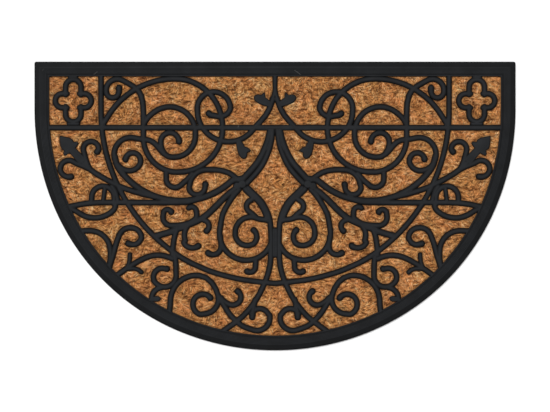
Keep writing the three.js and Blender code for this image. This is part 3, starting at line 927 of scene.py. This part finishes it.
def add_noise(material, size_mm, detail=2.0, roughness=0.5, turn_z=0, squeeze=(1, 1, 1)):
    """Noise on Object coordinates whose cells are about size_mm wide, and longer where squeeze is under 1."""
    place = add_node(material, "ShaderNodeTexCoord")
    mapping = add_node(material, "ShaderNodeMapping", Rotation=(0, 0, turn_z), Scale=squeeze)
    noise = add_node(material, "ShaderNodeTexNoise", Scale=1 / (size_mm * MM), Detail=detail,
                     Roughness=roughness)
    link(material, place.outputs["Object"], mapping.inputs["Vector"])
    link(material, mapping.outputs["Vector"], noise.inputs["Vector"])
    return noise.outputs["Fac"]


def add_ramp(material, factor, stops):
    ramp = add_node(material, "ShaderNodeValToRGB")
    elements = ramp.color_ramp.elements
    while len(elements) < len(stops):
        elements.new(0.5)
    for element, (position, color) in zip(elements, stops):
        element.position = position
        element.color = (*color, 1)
    link(material, factor, ramp.inputs["Fac"])
    return ramp.outputs["Color"]


def multiply(material, a, b):
    """The product of two colours. The colour sockets of a Mix node share their names with others."""
    mix = add_node(material, "ShaderNodeMix", data_type="RGBA", blend_type="MULTIPLY")
    mix.inputs["Factor"].default_value = 1
    first, second = [socket for socket in mix.inputs if socket.type == "RGBA"]
    link(material, a, first)
    link(material, b, second)
    return next(socket for socket in mix.outputs if socket.type == "RGBA")


def add_bump(material, shader, height, distance_mm, strength):
    bump = add_node(material, "ShaderNodeBump", Distance=distance_mm * MM, Strength=strength)
    link(material, height, bump.inputs["Height"])
    link(material, bump.outputs["Normal"], shader.inputs["Normal"])


# The rubber's own dark grey with random greyer patches, tinted grey-blue as a painted sheen.
DUST_AND_PAINTED_SHEEN = [(0.3, (0.0112, 0.0119, 0.0130)), (0.7, (0.0156, 0.0167, 0.0186))]
# Painted shade: these factors darken the colour to nearly black where the surface faces sideways, and keep it
# where it faces up.
PAINTED_FLANK_SHADE = [
    (0.74, (0.03, 0.03, 0.03)), (0.84, (0.42, 0.42, 0.42)), (0.95, (0.5, 0.5, 0.5)), (0.997, (1, 1, 1)),
]

rubber, shader = new_material("black_rubber", roughness=0.7, specular=0.1)
facing = add_node(rubber, "ShaderNodeSeparateXYZ")
link(rubber, add_node(rubber, "ShaderNodeTexCoord").outputs["Normal"], facing.inputs["Vector"])
# Random greyer patches, in a colour tinted grey-blue as a painted sheen.
dust_and_painted_sheen = add_ramp(rubber, add_noise(rubber, size_mm=22, detail=4), DUST_AND_PAINTED_SHEEN)
# The painted shade by facing: the flanks of the strips go nearly black.
painted_flank_shade = add_ramp(rubber, facing.outputs["Z"], PAINTED_FLANK_SHADE)
link(rubber, multiply(rubber, dust_and_painted_sheen, painted_flank_shade), shader.inputs["Base Color"])
grain = add_noise(rubber, size_mm=0.9, detail=3, roughness=0.7)
add_bump(rubber, shader, grain, distance_mm=0.12, strength=0.35)
print("rubber has", len(rubber.node_tree.nodes), "nodes")


# %% [markdown]
# Coir runs from dark brown to pale straw, and the shade that each fibre carries picks its colour from that
# range. A wide noise on Object coordinates turns some patches pinker and some yellower, and a fine one, drawn
# out to streaks, paints dark flecks between the strands, as painted shade. The body below the fibres gets the
# same colours, painted darker as the shade under the fibres, in a noise as fine as the fibres. The loose
# fibres have one dusty grey.

# %% Coir
SHADES = [
    (0.0, (0.13, 0.043, 0.012)), (0.22, (0.40, 0.155, 0.045)), (0.5, (0.76, 0.345, 0.115)),
    (0.78, (0.88, 0.49, 0.20)), (1.0, (0.94, 0.67, 0.38)),
]
PATCH_TINTS = [(0.35, (0.99, 0.95, 0.92)), (0.65, (0.95, 1.0, 0.92))]
# Painted shade in the gaps between the strands: a fine noise drawn out to streaks darkens the colour.
GAP_SHADE_SIZE = 3.2
GAP_SHADE_TURN = math.radians(-14)
GAP_SHADE_SQUEEZE = (0.4, 0.9, 1)
PAINTED_GAP_SHADE = [(0.34, (0.27, 0.21, 0.17)), (0.47, (0.78, 0.74, 0.70)), (0.6, (1, 1, 1))]


def coir_material(name, factor_of, darker):
    material, shader = new_material(name, roughness=0.8, specular=0.25)
    # The colours are scaled by darker; the felt uses this as painted shade under the fibres.
    shades = [(place, tuple(c * darker for c in color)) for place, color in SHADES]
    fibre_color = add_ramp(material, factor_of(material), shades)
    patches = add_ramp(material, add_noise(material, size_mm=28, detail=3), PATCH_TINTS)
    # The painted shade between the strands.
    gap_shade_streaks = add_noise(material, GAP_SHADE_SIZE, roughness=0.6, turn_z=GAP_SHADE_TURN, squeeze=GAP_SHADE_SQUEEZE)
    painted_gap_shade = add_ramp(material, gap_shade_streaks, PAINTED_GAP_SHADE)
    tinted = multiply(material, fibre_color, patches)
    link(material, multiply(material, tinted, painted_gap_shade), shader.inputs["Base Color"])
    return material, shader


def shade_of_fibre(material):
    return add_node(material, "ShaderNodeAttribute", attribute_name="shade").outputs["Fac"]


def shade_of_felt(material):
    return add_noise(material, size_mm=1.6, detail=4, roughness=0.7)


fibre_coir, _ = coir_material("coir_fibre", shade_of_fibre, darker=1.0)
# The felt is painted darker than the fibres, as the shade that lies under them.
body_coir, shader = coir_material("coir_felt", shade_of_felt, darker=0.45)
add_bump(body_coir, shader, add_noise(body_coir, size_mm=1.1, detail=3), distance_mm=0.5, strength=0.6)
dusty_coir, shader = new_material("dusty_fibre", roughness=0.8, specular=0.5)
shader.inputs["Base Color"].default_value = (0.2, 0.195, 0.18, 1)
print("coir materials:", fibre_coir.name, body_coir.name, dusty_coir.name)


# %% [markdown]
# Every piece now gets its material, the body that it moves with, and the plain solid that it stands for. The
# mat has no moving part, so all of it rides on the root. The coir is cloth that lies in the rubber, cut to
# the half round.

# %% Riding and replacing
def finish_piece(piece, material, slot, *nodes):
    piece.data.materials.clear()
    piece.data.materials.append(material)
    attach(piece, "root")
    if nodes:
        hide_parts(*nodes)


finish_piece(tray, rubber, "rubber", "rubber_moulding")
finish_piece(coir_body, body_coir, "coir", "coir_panel")
for piece in fibre_pieces:
    finish_piece(piece, fibre_coir, "coir")
finish_piece(stray_fibres, dusty_coir, "coir")


# %% [markdown]
# The mat lies on a plain pale floor, with the camera straight above it. A long lens at some distance keeps
# the mat's sides square, as in a catalogue picture. The focal length follows from the width of floor that
# the picture shows.

# %% Floor and camera
FLOOR_SIZE = 8
FLOOR_DROP = 0.0002
CAMERA_HEIGHT = 2.4
SENSOR = 36
SHOWN_WIDTH = 0.8556

bpy.ops.mesh.primitive_plane_add(size=FLOOR_SIZE, location=(0, 0, -FLOOR_DROP))
floor = bpy.context.object
floor.name = "floor"
bpy.ops.object.transform_apply(location=True, rotation=True, scale=True)
floor_paint, shader = new_material("pale_floor", roughness=0.9, specular=0.1)
shader.inputs["Base Color"].default_value = (0.93, 0.93, 0.93, 1)
floor.data.materials.append(floor_paint)

bpy.ops.object.camera_add(location=(0, 0, CAMERA_HEIGHT), rotation=(0, 0, 0))
camera = bpy.context.object
camera.data.sensor_width = SENSOR
camera.data.lens = SENSOR * (CAMERA_HEIGHT - TOP * MM) / SHOWN_WIDTH
bpy.context.scene.camera = camera
print("lens", round(camera.data.lens, 1), "mm")


# %% [markdown]
# A white world gives soft light from all round, and a wide sun, high and a little to the upper left, adds
# some direction, so that the fibres and the round strips show their shape. A sun lights the whole mat alike,
# where a lamp would fall off across it. The Standard view keeps the floor white, where the default one
# would grey it.

# %% Light
WORLD_STRENGTH = 0.66
SUN_STRENGTH = 2.2
SUN_SPREAD = 26
SUN_FROM = Vector((-0.32, 0.38, 1.0))

world = bpy.data.worlds.new("studio")
world.use_nodes = True
world.node_tree.nodes["Background"].inputs["Color"].default_value = (1, 1, 1, 1)
world.node_tree.nodes["Background"].inputs["Strength"].default_value = WORLD_STRENGTH
bpy.context.scene.world = world

bpy.ops.object.light_add(type="SUN", location=SUN_FROM)
sun = bpy.context.object
sun.data.energy = SUN_STRENGTH
sun.data.angle = math.radians(SUN_SPREAD)
sun.rotation_euler = (-SUN_FROM).to_track_quat("-Z", "Y").to_euler()
bpy.context.scene.view_settings.view_transform = "Standard"
print("world", WORLD_STRENGTH, "and sun", SUN_STRENGTH)
